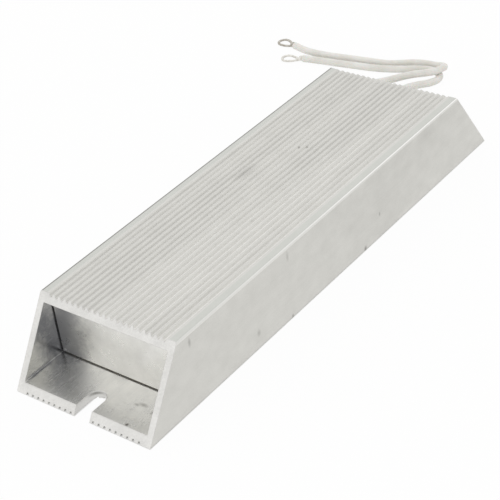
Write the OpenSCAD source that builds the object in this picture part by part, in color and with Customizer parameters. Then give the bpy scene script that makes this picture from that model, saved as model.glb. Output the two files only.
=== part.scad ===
// Power resistor in a mitred, ribbed aluminium extrusion.
// x runs across the width, y along the length from the front end to the
// lead end, z up from the mounting face. The origin is the middle of that face.

/* [Housing] */
// Width over the side walls
body_w = 60; // [50:1:90]
// Height from mounting face to rib crests
body_h = 30; // [26:0.5:45]
// Length along the mounting face
body_l = 215; // [180:1:335]
// How far each end leans back between the mounting face and the top
mitre = 20.2; // [8:0.1:30]
// Side wall thickness
side_wall = 2.6; // [2:0.1:4]
// Top wall thickness, crest to inside
top_wall = 3.2; // [2.4:0.1:5]
// Base wall thickness
base_wall = 3.3; // [2.4:0.1:5]
// Radius of the two long top corners
corner_r = 0.8; // [0.3:0.1:1.5]
// Radius of the two long foot corners
foot_r = 0.4; // [0.2:0.1:0.8]
// Radius of the four inside corners
inner_r = 0.5; // [0.2:0.1:0.5]

/* [Ribs] */
// Distance from rib to rib, and from notch to notch
rib_pitch = 2.5; // [2.2:0.1:4]
// Least distance from a side face to the middle of the first groove
edge_strip = 4.5; // [3.5:0.5:8]
// Depth of the grooves between ribs
rib_h = 1.05; // [0.6:0.05:1.4]
// Radius of a rib's crest
crest_r = 0.6; // [0.3:0.05:0.6]
// Half width of a rib at its root
rib_root = 0.8; // [0.65:0.05:0.9]
// Width of a notch in the mounting face
notch_w = 0.8; // [0.4:0.1:1.2]
// Depth of a notch in the mounting face
notch_d = 0.8; // [0.4:0.1:1.2]

/* [Mounting slots] */
// Width of the slot in each end of the base
slot_w = 7; // [4.5:0.1:9]
// Depth of the slot, from the base's end to its round bottom
slot_depth = 12; // [9:0.5:16]

/* [End plates] */
// How far a plate lies inside the end of the top wall
plate_in = 1.3; // [0.5:0.1:6]
// Plate thickness
plate_t = 2; // [1:0.1:3]
// Open joint between a plate's edge and the housing
plate_gap = 0.6; // [0.2:0.1:1]
// Clearance round a lead where it passes a plate or the filling
lead_gap = 0.2; // [0.1:0.05:0.4]

/* [Resistance element] */
// Outer diameter of a ceramic core
core_d = 14; // [13:0.1:16]
// Bore of a ceramic core
core_bore = 6; // [3:0.5:8]
// Room between a core's end and the plate
core_room = 9; // [7:0.5:15]
// Thickness of the resistance ribbon
ribbon_t = 0.8; // [0.4:0.1:1.2]
// Width of the resistance ribbon
ribbon_w = 2.4; // [1:0.1:3.5]
// Turns of ribbon on each core
turns = 26; // [10:1:28]
// Width of a band clip
clip_w = 6; // [4:0.5:8]
// Thickness of a band clip and its lug
clip_t = 0.8; // [0.5:0.1:1]
// Bare end of a core outside its clip
clip_in = 1; // [0.5:0.5:4]
// Radial length of a clip's lug
lug_l = 3; // [2:0.5:3.5]
// Thickness of the strip that joins the two front clips
link_t = 0.8; // [0.5:0.1:1.5]
// Turn of a rear clip's tongue from straight down towards the middle plane
tongue_turn = 53; // [0:1:75]
// Outer diameter of the ferrule that joins a lead to its tongue
ferrule_d = 4; // [3:0.1:5]
// Length of a ferrule
ferrule_l = 4.4; // [3:0.1:5]
// Diameter of the stripped conductor
strand_d = 2; // [1:0.1:2.4]
// Stripped conductor left bare between ferrule and insulation
bare_l = 1; // [0.5:0.5:2]
// Thickness of a mica sheet
mica_t = 0.5; // [0.3:0.1:1]
// Clearance round the filling and round what is bedded in it
bed_gap = 0.1; // [0.05:0.05:0.2]

/* [Leads] */
// Outer diameter of a sleeved lead
lead_d = 3.2; // [2.4:0.1:3.2]
// Outer diameter of a terminal's ring
ring_d = 6.6; // [5.5:0.1:8]
// Stud hole in a terminal's ring
stud_d = 3.7; // [2.5:0.1:4.3]
// Thickness of a terminal's ring and neck
ring_t = 0.8; // [0.5:0.1:1]
// Diameter of a terminal's crimped barrel
barrel_d = 2.6; // [2:0.1:3]
// Length of a terminal's barrel outside the sleeve
barrel_l = 2.2; // [1:0.2:4]
// Length of a terminal's neck, between barrel and ring
neck_l = 2.2; // [0.8:0.1:3]

/* [Hidden] */
$fn = 48;
OVER = 1; // how far a cutting body runs past what it cuts

// Cavity and end faces
cavity_w = body_w - 2 * side_wall;
cavity_top = body_h - top_wall;
end_y = body_l / 2;
setback = mitre + plate_in;
plate_y = end_y - setback;          // outer face of the rear plate
fill_y = plate_y - plate_t;         // its inner face, where the filling ends
fill_low = base_wall + mica_t;
fill_high = cavity_top - mica_t;
slot_y = end_y - slot_depth + slot_w / 2;

// Grooves lie on both faces at the same places
grooves = 1 + floor((body_w - 2 * edge_strip) / rib_pitch + 0.001);
groove_field = (grooves - 1) * rib_pitch;
groove_x = [for (i = [0 : grooves - 1]) i * rib_pitch - groove_field / 2];

// Cores, and what sits on them
core_r = core_d / 2;
core_x = cavity_w / 4;
core_z = (fill_low + fill_high) / 2;
core_y = fill_y - core_room;        // rear end of a core
clip_y = core_y - clip_in;          // rear edge of a rear clip
winding_l = 2 * (clip_y - clip_w);
FACES = 14;                         // flats in one turn of ribbon
ribbon_in = core_r / cos(180 / FACES);
bed_r = ribbon_in + max(ribbon_t, clip_t) + bed_gap;

// A ferrule lies inside a rear clip's tongue, and its lead runs on from it
ferrule_x = core_x - (core_r - ferrule_d / 2) * sin(tongue_turn);
ferrule_z = core_z - (core_r - ferrule_d / 2) * cos(tongue_turn);
ferrule_y = core_y + bed_gap;
lead_y = ferrule_y + ferrule_l + bare_l; // where the insulation starts

// Routes of the two leads, by x, distance past the base's rear end, and z.
// The first point is the end of the insulation, the second the plate's face.
route_left = [
    [-ferrule_x, lead_y - end_y, ferrule_z], [-ferrule_x, -setback, ferrule_z],
    [-9.6, -15.5, 11], [-9.4, -9.5, 8.4], [-9.4, -4, 5.8], [-11, 1, 3.7],
    [-15, 4.3, 2.2], [-20.4, 5.5, 1.6], [-26, 5.5, 1.6], [-31.4, 5.6, 1.6],
    [-36.4, 8, 1.6], [-38.8, 12.6, 1.6], [-37.4, 17.8, 1.6], [-33.8, 22, 1.6],
    [-29.4, 25.2, 2.4], [-25, 27.2, 3.8], [-20.8, 29, 4.8], [-17.2, 31.4, 5],
    [-14.2, 34.7, 5], [-13, 38.4, 4.9], [-13.8, 41.6, 3.8], [-16.2, 44, 2.5],
    [-19.8, 44.8, 1.6], [-24.8, 44.3, 1.6], [-29.8, 42.9, 1.6],
    [-34.6, 40.2, 1.6], [-39.8, 37.4, 1.6], [-45.4, 36.1, 1.6],
    [-51.4, 35.2, 1.6], [-57.4, 34.2, 1.6], [-63.6, 33.1, 1.6],
    [-70, 32.2, 1.6], [-76.6, 31.7, 1.6], [-83.2, 32.3, 1.6],
    [-89.4, 33.9, 1.6],
];
route_right = [
    [ferrule_x, lead_y - end_y, ferrule_z], [ferrule_x, -setback, ferrule_z],
    [9.6, -15.5, 11], [9.4, -9.5, 8.4], [9.2, -4, 5.8], [8.2, 1.5, 3.7],
    [5, 6, 2.2], [-0.4, 8.6, 1.6], [-6, 9.4, 1.6], [-11.2, 9.4, 1.6],
    [-16.2, 9.8, 1.6], [-20.6, 12.2, 1.6], [-22.4, 16.8, 1.6],
    [-21, 21.6, 1.6], [-18, 25.9, 1.6], [-14.4, 29.6, 1.6],
    [-12.7, 33.4, 1.6], [-13.5, 37, 1.6], [-16.2, 39.3, 1.6],
    [-20.2, 40, 1.6], [-25, 38.8, 1.6], [-29.8, 36.4, 1.6],
    [-35.2, 33.9, 1.6], [-40.8, 31.8, 1.6], [-46.6, 30.4, 1.6],
    [-52.4, 29.4, 1.6], [-58.2, 28.4, 1.6], [-64.4, 27.4, 1.6],
    [-71, 26.4, 1.6], [-78.4, 25, 1.6],
];
LEAD_SIDES = 8;

alu = "#c9c9c4";
alu_cut = "#d6d6d1";
ceramic = "#e9e4d8";
mica = "#b9a886";
ribbon = "#8d8a86";
tinned = "#a39c90";
sleeve = "#dddad2";

// ---- helpers ----

function unit(v) = v / norm(v);

// Direction of a route at its point i, between its neighbours
function along(route, i) =
    unit(route[min(i + 1, len(route) - 1)] - route[max(i - 1, 0)]);

// One ring of a tube: its points lie square to the route, flat side down
function tube_ring(route, i, r, sides) =
    let (t = along(route, i),
         side = unit(cross(t, [0, 0, 1])),
         up = cross(side, t))
    [for (k = [0 : sides - 1])
        let (a = 360 * (k + 0.5) / sides)
        route[i] + r * (cos(a) * side + sin(a) * up)];

// A skin of quads between rings of n points each, closed at both ends
function skin_faces(rings, n) = concat(
    [[for (k = [0 : n - 1]) k]],
    [for (i = [0 : rings - 2], k = [0 : n - 1])
        [i * n + k, (i + 1) * n + k,
         (i + 1) * n + (k + 1) % n, i * n + (k + 1) % n]],
    [[for (k = [n - 1 : -1 : 0]) (rings - 1) * n + k]]);

module tube(route, r, sides) {
    polyhedron(
        points = [for (i = [0 : len(route) - 1])
            each tube_ring(route, i, r, sides)],
        faces = skin_faces(len(route), sides), convexity = 8);
}

// Puts a shape drawn in x and z at its place along y
module along_y(from, to) {
    translate([0, to, 0]) rotate([90, 0, 0])
        linear_extrude(height = to - from, convexity = 10) children();
}

// A rectangle from the foot upwards with its own foot and top corner radii
module rounded(w, low, high, low_r, high_r) {
    translate([-w / 2, low + low_r]) square([w, high - low - low_r - high_r]);
    translate([low_r - w / 2, low]) square([w - 2 * low_r, low_r]);
    translate([high_r - w / 2, high - high_r])
        square([w - 2 * high_r, high_r]);
    for (s = [-1, 1]) {
        translate([s * (w / 2 - low_r), low + low_r]) circle(r = low_r);
        translate([s * (w / 2 - high_r), high - high_r]) circle(r = high_r);
    }
}

// ---- housing ----

// The recessed field that the ribs stand in
module rib_field() {
    low = body_h - rib_h;
    flat = rib_pitch / 2 - rib_root;
    lean = rib_root - crest_r;
    half = groove_field / 2 + flat;
    polygon([
        [-half, low], [half, low],
        [half + lean, body_h], [half + lean, body_h + OVER],
        [-half - lean, body_h + OVER], [-half - lean, body_h],
    ]);
}

// One rib: sloping flanks from its root up to a round crest
module rib() {
    low = body_h - rib_h;
    translate([0, body_h - crest_r]) circle(r = crest_r);
    polygon([
        [-rib_root, low - 0.2], [rib_root, low - 0.2], [rib_root, low],
        [crest_r, body_h - crest_r], [-crest_r, body_h - crest_r],
        [-rib_root, low],
    ]);
}

module extrusion_profile() {
    difference() {
        union() {
            difference() {
                rounded(body_w, 0, body_h, foot_r, corner_r);
                rib_field();
            }
            for (i = [0 : grooves - 2])
                translate([groove_x[i] + rib_pitch / 2, 0]) rib();
        }
        rounded(cavity_w, base_wall, cavity_top, inner_r, inner_r);
        for (x = groove_x)
            translate([x - notch_w / 2, -OVER])
                square([notch_w, notch_d + OVER]);
    }
}

// Everything between the two mitre cuts
module between_mitres() {
    lean = mitre * OVER / body_h;
    translate([-body_w, 0, 0]) rotate([90, 0, 90])
        linear_extrude(height = 2 * body_w) polygon([
            [-end_y - lean, -OVER], [end_y + lean, -OVER],
            [end_y - mitre - lean, body_h + OVER],
            [-end_y + mitre + lean, body_h + OVER],
        ]);
}

// A slot open to the end of the base, with a round bottom
module mounting_slot() {
    translate([0, 0, -OVER]) linear_extrude(height = base_wall + 2 * OVER) {
        translate([0, slot_y]) circle(d = slot_w);
        translate([-slot_w / 2, slot_y]) square([slot_w, slot_depth]);
    }
}

module housing() {
    color(alu) difference() {
        intersection() {
            along_y(-end_y - OVER, end_y + OVER) extrusion_profile();
            between_mitres();
        }
        mounting_slot();
        mirror([0, 1, 0]) mounting_slot();
    }
}

// ---- end plates, filling and mica ----

module plate_blank() {
    w = cavity_w - 2 * plate_gap;
    low = base_wall + plate_gap;
    translate([-w / 2, fill_y, low])
        cube([w, plate_t, cavity_top - plate_gap - low]);
}

module front_end_plate() {
    color(alu_cut) mirror([0, 1, 0]) plate_blank();
}

module lead_hole(side, from, to) {
    translate([side * ferrule_x, from, ferrule_z]) rotate([-90, 0, 0])
        cylinder(d = lead_d + 2 * lead_gap, h = to - from);
}

module rear_end_plate() {
    color(alu_cut) difference() {
        plate_blank();
        for (s = [-1, 1])
            lead_hole(s, fill_y - OVER, plate_y + OVER);
    }
}

module cement_filling() {
    w = cavity_w - 2 * bed_gap;
    color("#cfc8ba") difference() {
        translate([-w / 2, -fill_y, fill_low])
            cube([w, 2 * fill_y, fill_high - fill_low]);
        for (s = [-1, 1]) {
            translate([s * core_x, -core_y - bed_gap, core_z])
                rotate([-90, 0, 0])
                    cylinder(r = bed_r, h = core_y + bed_gap + lead_y);
            lead_hole(s, lead_y - OVER, fill_y + OVER);
        }
        translate([-core_x, -clip_y - bed_gap, core_z - clip_t / 2 - bed_gap])
            cube([2 * core_x, clip_w + 2 * bed_gap,
                  clip_t + link_t + 2 * bed_gap]);
    }
}

module mica_sheet() {
    w = cavity_w - 2 * inner_r;
    translate([-w / 2, -fill_y, 0]) cube([w, 2 * fill_y, mica_t]);
}

module mica_sheet_top() {
    color(mica) translate([0, 0, fill_high]) mica_sheet();
}

module mica_sheet_bottom() {
    color(mica) translate([0, 0, base_wall]) mica_sheet();
}

// ---- resistance element ----

module core(side) {
    color(ceramic) translate([side * core_x, core_y, core_z])
        rotate([90, 0, 0]) difference() {
            cylinder(d = core_d, h = 2 * core_y);
            translate([0, 0, -OVER])
                cylinder(d = core_bore, h = 2 * core_y + 2 * OVER);
        }
}

// Flat ribbon wound on a core: four corners carried round a helix
module winding(side) {
    steps = turns * FACES;
    travel = winding_l - ribbon_w;
    corners = [[ribbon_in, -1], [ribbon_in + ribbon_t, -1],
               [ribbon_in + ribbon_t, 1], [ribbon_in, 1]];
    color(ribbon) translate([side * core_x, 0, core_z]) polyhedron(
        points = [for (i = [0 : steps], c = corners)
            let (a = side * 360 * i / FACES,
                 y = travel * (i / steps - 0.5) + c[1] * ribbon_w / 2)
            [side * c[0] * cos(a), y, c[0] * sin(a)]],
        faces = skin_faces(steps + 1, 4), convexity = 20);
}

// A band round a core, from its edge at y = 0 back along -y
module band() {
    rotate([90, 0, 0]) difference() {
        cylinder(d = core_d + 2 * clip_t, h = clip_w);
        translate([0, 0, -OVER]) cylinder(d = core_d, h = clip_w + 2 * OVER);
    }
}

// The front clips carry a lug that points to the other core
module front_clip(side) {
    color(tinned) translate([side * core_x, clip_w - clip_y, core_z]) {
        band();
        difference() {
            translate([side > 0 ? -core_r - lug_l : core_r, 0, 0])
                translate([0, -clip_w, -clip_t / 2])
                    cube([lug_l, clip_w, clip_t]);
            translate([0, OVER, 0]) rotate([90, 0, 0])
                cylinder(d = core_d + clip_t, h = clip_w + 2 * OVER);
        }
    }
}

// The rear clips carry a tongue that runs on along y, under the ferrule
module rear_clip(side) {
    color(tinned) translate([side * core_x, clip_y, core_z])
        rotate([0, side * tongue_turn, 0]) {
            band();
            translate([0, lead_y - bare_l - clip_y, 0]) rotate([90, 0, 0])
                linear_extrude(height = lead_y - bare_l - clip_y + clip_w)
                    intersection() {
                        difference() {
                            circle(d = core_d + 2 * clip_t);
                            circle(d = core_d);
                        }
                        translate([-strand_d, -core_d])
                            square([2 * strand_d, core_d]);
                    }
        }
}

module link_strip() {
    reach = core_x - core_r - clip_t;
    color(tinned) translate([-reach, -clip_y, core_z + clip_t / 2])
        cube([2 * reach, clip_w, link_t]);
}

module at_ferrule(side) {
    translate([side * ferrule_x, ferrule_y, ferrule_z]) rotate([-90, 0, 0])
        children();
}

module ferrule(side) {
    color(tinned) at_ferrule(side) difference() {
        cylinder(d = ferrule_d, h = ferrule_l);
        translate([0, 0, -OVER]) cylinder(d = strand_d, h = ferrule_l + 2 * OVER);
    }
}

module strand(side) {
    color("#b07a4c") at_ferrule(side)
        cylinder(d = strand_d, h = ferrule_l + bare_l);
}

// ---- leads ----

module lead(route) {
    color(sleeve) translate([0, end_y, 0]) tube(route, lead_d / 2, LEAD_SIDES);
}

// A crimped ring terminal on the end of a route
module ring_terminal(route) {
    last = len(route) - 1;
    ahead = along(route, last);
    foot = lead_d / 2 - barrel_d / 2;
    ring_at = barrel_l + neck_l + ring_d / 2;
    color(tinned) translate([route[last][0], end_y + route[last][1], 0])
        rotate([0, 0, atan2(ahead[1], ahead[0])]) difference() {
            union() {
                translate([0, 0, lead_d / 2]) rotate([0, 90, 0])
                    cylinder(d = barrel_d, h = barrel_l);
                translate([0, 0, foot]) linear_extrude(height = ring_t) {
                    polygon([
                        [barrel_l - 1, -barrel_d / 2], [barrel_l - 1, barrel_d / 2],
                        [ring_at, ring_d / 2], [ring_at, -ring_d / 2],
                    ]);
                    translate([ring_at, 0]) circle(d = ring_d);
                }
            }
            translate([ring_at, 0, -OVER])
                cylinder(d = stud_d, h = lead_d + 2 * OVER);
        }
}

housing();
front_end_plate();
rear_end_plate();
cement_filling();
core(-1);  // core_left
core(1);  // core_right
winding(-1);  // winding_left
winding(1);  // winding_right
front_clip(-1);  // front_clip_left
front_clip(1);  // front_clip_right
rear_clip(-1);  // rear_clip_left
rear_clip(1);  // rear_clip_right
link_strip();
ferrule(-1);  // ferrule_left
ferrule(1);  // ferrule_right
strand(-1);  // strand_left
strand(1);  // strand_right
mica_sheet_top();
mica_sheet_bottom();
lead(route_left);  // lead_left
lead(route_right);  // lead_right
ring_terminal(route_left);  // ring_terminal_left
ring_terminal(route_right);  // ring_terminal_right
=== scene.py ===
"""Finishes and stage for an aluminium housed power resistor.

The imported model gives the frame, and everything here is in its metres: x across
the width, y along the extrusion towards the leads, z up from the mounting face.
"""

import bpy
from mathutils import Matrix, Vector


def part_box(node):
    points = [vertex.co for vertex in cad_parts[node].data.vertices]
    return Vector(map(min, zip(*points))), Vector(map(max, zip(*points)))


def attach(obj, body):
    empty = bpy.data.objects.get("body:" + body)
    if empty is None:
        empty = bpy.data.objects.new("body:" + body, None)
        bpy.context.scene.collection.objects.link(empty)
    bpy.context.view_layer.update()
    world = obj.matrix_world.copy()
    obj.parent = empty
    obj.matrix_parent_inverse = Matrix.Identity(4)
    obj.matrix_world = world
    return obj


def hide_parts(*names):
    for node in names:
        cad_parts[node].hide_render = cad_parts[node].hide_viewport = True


bl_info = {
    "name": "Housed power resistor",
    "version": (1, 0, 0),
    "blender": (4, 5, 0),
    "location": "3D Viewport > Sidebar > Resistor",
    "description": "Gives a ribbed aluminium resistor its surfaces, leads and stage",
    "category": "Object",
}

import bpy
import numpy as np
from mathutils import Matrix, Vector
from mathutils.geometry import tessellate_polygon

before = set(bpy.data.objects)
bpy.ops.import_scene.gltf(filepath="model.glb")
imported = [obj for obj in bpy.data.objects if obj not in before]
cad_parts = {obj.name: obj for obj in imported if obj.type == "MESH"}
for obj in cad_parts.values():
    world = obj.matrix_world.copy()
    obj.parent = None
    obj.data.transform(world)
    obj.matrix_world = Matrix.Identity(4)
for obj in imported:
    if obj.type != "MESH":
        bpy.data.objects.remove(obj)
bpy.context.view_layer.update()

MM = 0.001
BODY = "root"
HOUSING_LOW, HOUSING_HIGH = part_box("housing")
MICA_LOW, MICA_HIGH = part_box("mica_sheet_bottom")
STRAND_LOW, STRAND_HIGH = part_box("strand_right")
REAR_PLATE_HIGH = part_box("rear_end_plate")[1]

# Where a lead's insulation starts, and where it leaves the rear plate, in mm:
# x and z of the strand's axis, and the distances past the base's rear end
LEAD_X = (STRAND_LOW[0] + STRAND_HIGH[0]) / 2 / MM
LEAD_Z = (STRAND_LOW[2] + STRAND_HIGH[2]) / 2 / MM
LEAD_START = (STRAND_HIGH[1] - HOUSING_HIGH[1]) / MM
LEAD_EXIT = (REAR_PLATE_HIGH[1] - HOUSING_HIGH[1]) / MM

# Routes of the leads from there on, as in the part's source: x, distance past
# the base's rear end, and z, in millimetres
ROUTE_LEFT = [
    (-9.6, -15.5, 11), (-9.4, -9.5, 8.4), (-9.4, -4, 5.8), (-11, 1, 3.7),
    (-15, 4.3, 2.2), (-20.4, 5.5, 1.6), (-26, 5.5, 1.6), (-31.4, 5.6, 1.6),
    (-36.4, 8, 1.6), (-38.8, 12.6, 1.6), (-37.4, 17.8, 1.6), (-33.8, 22, 1.6),
    (-29.4, 25.2, 2.4), (-25, 27.2, 3.8), (-20.8, 29, 4.8), (-17.2, 31.4, 5),
    (-14.2, 34.7, 5), (-13, 38.4, 4.9), (-13.8, 41.6, 3.8), (-16.2, 44, 2.5),
    (-19.8, 44.8, 1.6), (-24.8, 44.3, 1.6), (-29.8, 42.9, 1.6),
    (-34.6, 40.2, 1.6), (-39.8, 37.4, 1.6), (-45.4, 36.1, 1.6),
    (-51.4, 35.2, 1.6), (-57.4, 34.2, 1.6), (-63.6, 33.1, 1.6),
    (-70, 32.2, 1.6), (-76.6, 31.7, 1.6), (-83.2, 32.3, 1.6),
    (-89.4, 33.9, 1.6),
]
ROUTE_RIGHT = [
    (9.6, -15.5, 11), (9.4, -9.5, 8.4), (9.2, -4, 5.8), (8.2, 1.5, 3.7),
    (5, 6, 2.2), (-0.4, 8.6, 1.6), (-6, 9.4, 1.6), (-11.2, 9.4, 1.6),
    (-16.2, 9.8, 1.6), (-20.6, 12.2, 1.6), (-22.4, 16.8, 1.6), (-21, 21.6, 1.6),
    (-18, 25.9, 1.6), (-14.4, 29.6, 1.6), (-12.7, 33.4, 1.6), (-13.5, 37, 1.6),
    (-16.2, 39.3, 1.6), (-20.2, 40, 1.6), (-25, 38.8, 1.6), (-29.8, 36.4, 1.6),
    (-35.2, 33.9, 1.6), (-40.8, 31.8, 1.6), (-46.6, 30.4, 1.6),
    (-52.4, 29.4, 1.6), (-58.2, 28.4, 1.6), (-64.4, 27.4, 1.6),
    (-71, 26.4, 1.6), (-78.4, 25, 1.6),
]
SLEEVE_R = 1.6    # outer radius of a lead's sleeve, in mm
SHARP = 24    # degrees between faces from which the extrusion's edges look sharp

# Marks on the metal, in mm: middle, half widths along x, y and z, and strength
NICKS = (
    ((30, -81.7, 26), (1, 0.9, 2.4), 0.5), ((30, -47.3, 6.4), (1, 1.3, 1.7), 0.4),
    ((30, -27.4, 26), (1, 0.9, 2.6), 0.35), ((30, -28, 0.8), (1, 0.8, 1.2), 0.7),
    ((30, 29.3, 10.2), (1, 0.6, 1.2), 0.6), ((30, 18.7, 0.9), (1, 1.1, 1.6), 0.9),
    ((30, 63.8, 26), (2, 9, 3.5), 0.16), ((-12.3, 6.3, 30), (2.2, 9, 1.5), 0.35),
    ((9.7, -19.5, 30), (0.9, 1.2, 1), 0.4), ((-5.2, 30.1, 29.2), (0.6, 0.9, 1), 0.9),
    ((-2.6, 31.7, 29), (0.7, 1, 1), 0.9))
# Painted shade and a painted dark reflection of the cavity's left rear corner, on the
# left wall and floor, and on the plate
CORNER_SHADE = (
    ((-27, -87, 11), (3.5, 12, 17), 1.1), ((-27, -92, 19), (2, 11, 12), 1.0),
    ((-24, -88, 3.3), (9, 9, 2), 0.5), ((-20, -96, 3.3), (18, 16, 2), 0.2),
    ((-27, -97, 3.3), (0.9, 13, 0.9), 1.0))
CORNER_SHADE_ON_PLATE = (((-28, -86, 17), (22, 4, 60), 1.3),)
# Darker along a quarter of the front slot's rim, radius 3.5 round y -99
RIM = tuple(((-3.5 * np.sin(a), 3.5 * np.cos(a) - 99, 2.4), (0.9, 0.9, 0.9),
             0.3 + 0.75 * np.sin(2 * a)) for a in np.radians(np.linspace(8, 92, 9)))
# Pale scratches and dark specks on the cavity's floor, and pale marks on the plate's
# lower left corner
SCRATCHES = (
    ((-16.3, -103, 3.3), (0.45, 2.4, 1), 1.1),
    ((-15.7, -99.6, 3.3), (0.45, 2.6, 1), 1.2),
    ((-14.6, -96.2, 3.3), (0.5, 2.4, 1), 1.1),
    ((-9.5, -101, 3.3), (0.3, 3, 1), 0.4), ((9, -99.5, 3.3), (3, 0.3, 1), 0.4))
SPECKS = (
    ((18.1, -104.4, 3.3), (0.9, 0.9, 1), 1.5), ((16.6, -94.1, 3.3), (2.4, 1.2, 1), 0.7),
    ((21.9, -95.7, 3.3), (1.0, 1.2, 1), 0.75), ((-0.8, -99.3, 3.3), (0.8, 0.6, 1), 0.6),
    ((14.5, -95, 3.3), (1.6, 0.8, 1), 0.6))
PALE_CORNER_MARKS = (
    ((-25.6, -86, 4.9), (0.9, 1, 0.6), 1.6), ((-24.2, -86, 4.6), (0.6, 1, 0.4), 1.2))


# ---- small helpers ----

def linear(hex_colour):
    """Linear RGBA of an sRGB hex colour such as "#c8c7c2"."""
    v = np.array([int(hex_colour[i:i + 2], 16) / 255 for i in (1, 3, 5)])
    v = np.where(v <= 0.04045, v / 12.92, ((v + 0.055) / 1.055) ** 2.4)
    return (*v.tolist(), 1.0)


def add(tree, kind, inputs=(), **settings):
    """Adds one node. settings are its attributes. inputs maps an input socket,
    by name or place, to a value or to the output that feeds it."""
    node = tree.nodes.new("ShaderNode" + kind)
    for key, value in settings.items():
        setattr(node, key, value)
    for key, value in dict(inputs).items():
        if isinstance(value, bpy.types.NodeSocket):
            tree.links.new(value, node.inputs[key])
        else:
            node.inputs[key].default_value = value
    return node


def new_material(name):
    """An empty node material, its tree and its Object coordinates."""
    mat = bpy.data.materials.new(name)
    mat.use_nodes = True
    mat.node_tree.nodes.clear()
    return mat, mat.node_tree, add(mat.node_tree, "TexCoord").outputs["Object"]


def mesh_piece(name, verts, faces, materials, sharp, uv=None):
    """A mesh object at the origin that rides with the body. sharp is the angle in
    degrees from which an edge looks sharp, and uv holds one pair of numbers for
    each corner of each face."""
    mesh = bpy.data.meshes.new(name)
    mesh.from_pydata(verts, [], faces)
    if uv is not None:
        layer = mesh.uv_layers.new(name="surface")
        layer.data.foreach_set("uv", np.asarray(uv, np.float32).ravel())
    for mat in materials:
        mesh.materials.append(mat)
    mesh.shade_smooth()
    mesh.set_sharp_from_angle(angle=np.radians(sharp))
    piece = bpy.data.objects.new(name, mesh)
    bpy.context.scene.collection.objects.link(piece)
    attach(piece, BODY)
    return piece


def dress(node, mat):
    """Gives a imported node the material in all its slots."""
    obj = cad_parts[node]
    if not obj.material_slots:
        obj.data.materials.append(mat)
    for place in obj.material_slots:
        place.material = mat


# ---- the housing's surface ----

def arc(centre, radius, start, end, count):
    """Points of a circle's arc, angles in degrees, both ends included."""
    a = np.radians(np.linspace(start, end, count))
    return np.asarray(centre) + radius * np.stack([np.cos(a), np.sin(a)], 1)


def rounded(centre, radius, start, end, count):
    """The arc with a point on its tangent 0.2 mm before and after it, so that the
    flats beside it keep their own normals."""
    points = arc(centre, radius, start, end, count)
    a = np.radians([start, end])
    run = 0.2 * MM * np.sign(end - start) * np.stack([-np.sin(a), np.cos(a)], 1)
    return np.vstack([points[0] - run[0], points, points[-1] + run[1]])


def outer_profile(form):
    """The extrusion's outer outline in x and z, metal on the left hand.

    It runs to the right along the foot and its notches, up the right side, back
    over the ribs and down the left side. From a rib's middle the outline turns
    down on a crest circle to the flank's slope, runs straight, and turns level
    on a valley circle. The radii's sum R and the flank's length L solve
    R sin + L cos = pitch / 2 and R (1 - cos) + L sin = rib height."""
    w, h = form.width / 2, form.height
    pitch, count = form.pitch, form.grooves
    middle = (np.arange(count) - (count - 1) / 2) * pitch
    # a notch's half width and depth, and the bevel of its corners
    n, d, c = form.notch / 2, form.notch, 0.12 * MM
    notch = np.array([(-n - c, 0), (-n, c), (-n, d - c), (c - n, d),
                      (n - c, d), (n, d - c), (n, c), (n + c, 0)])
    foot = (notch[None] + np.stack([middle, 0 * middle], 1)[:, None]).reshape(-1, 2)
    turn = np.radians(form.flank)
    both = np.linalg.solve([[np.sin(turn), np.cos(turn)],
                            [1 - np.cos(turn), np.sin(turn)]],
                           [pitch / 2, form.rib])[0]
    crest, valley = form.crest_share * both, (1 - form.crest_share) * both
    half = np.concatenate([arc((0, h - crest), crest, 90, 90 + form.flank, 8),
                           arc((-pitch / 2, h - form.rib + valley), valley,
                               form.flank - 90, -90, 7)])
    rib = np.concatenate([(half * (-1, 1))[::-1], half[1:]])
    ribs = (rib[None] + np.stack([middle[:0:-1] - pitch / 2,
                                  0 * middle[1:]], 1)[:, None]).reshape(-1, 2)
    lip = half + (middle[-1] + pitch / 2, 0)
    corner = rounded((w - form.corner, h - form.corner), form.corner, 0, 90, 9)
    toe = rounded((w - form.foot, form.foot), form.foot, -90, 0, 6)
    side = np.stack([np.full(5, w), np.linspace(2, h / MM - 2, 5) * MM], 1)
    return np.concatenate([foot, toe, side, corner, lip, ribs,
                           (lip * (-1, 1))[::-1], (corner * (-1, 1))[::-1],
                           (side * (-1, 1))[::-1], (toe * (-1, 1))[::-1]])


def inner_profile(form):
    """The cavity's outline in x and z, also with metal on the left hand: a
    rectangle with quarter-circle corners, run clockwise."""
    w = form.width / 2 - form.wall
    low, high, r = form.base, form.height - form.top, form.inner
    parts = [rounded((side * (w - r), z), r, start, start - 90, 6)
             for side, z, start in ((1, high - r, 90), (1, low + r, 0),
                                    (-1, low + r, 270), (-1, high - r, 180))]
    return np.concatenate(parts)


def left_normals(profile):
    """Unit normals of a closed outline, to the left of its direction."""
    t = np.roll(profile, -1, 0) - np.roll(profile, 1, 0)
    t /= np.linalg.norm(t, axis=1)[:, None]
    return np.stack([-t[:, 1], t[:, 0]], 1)


def mitred_skin(profile, form):
    """Carries an outline along y between the two mitre planes.

    A point at height z runs to u (length / 2 - lean * z / height), for rows of u
    from -1 to 1. The first and last rows lie in the planes, drawn in by the width
    of the broken edge, and the rows next to them lie the same distance short."""
    u = np.array([-1, -1, -0.6, -0.2, 0.2, 0.6, 1, 1])[:, None]
    at_plane = np.array([1, 0, 0, 0, 0, 0, 0, 1])[:, None]
    line = profile + at_plane[..., None] * left_normals(profile) * form.broken
    reach = form.length / 2 - form.lean * line[..., 1] / form.height
    reach = reach - (1 - at_plane) * form.broken
    return np.stack([line[..., 0], reach * u, line[..., 1]], -1)


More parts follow.
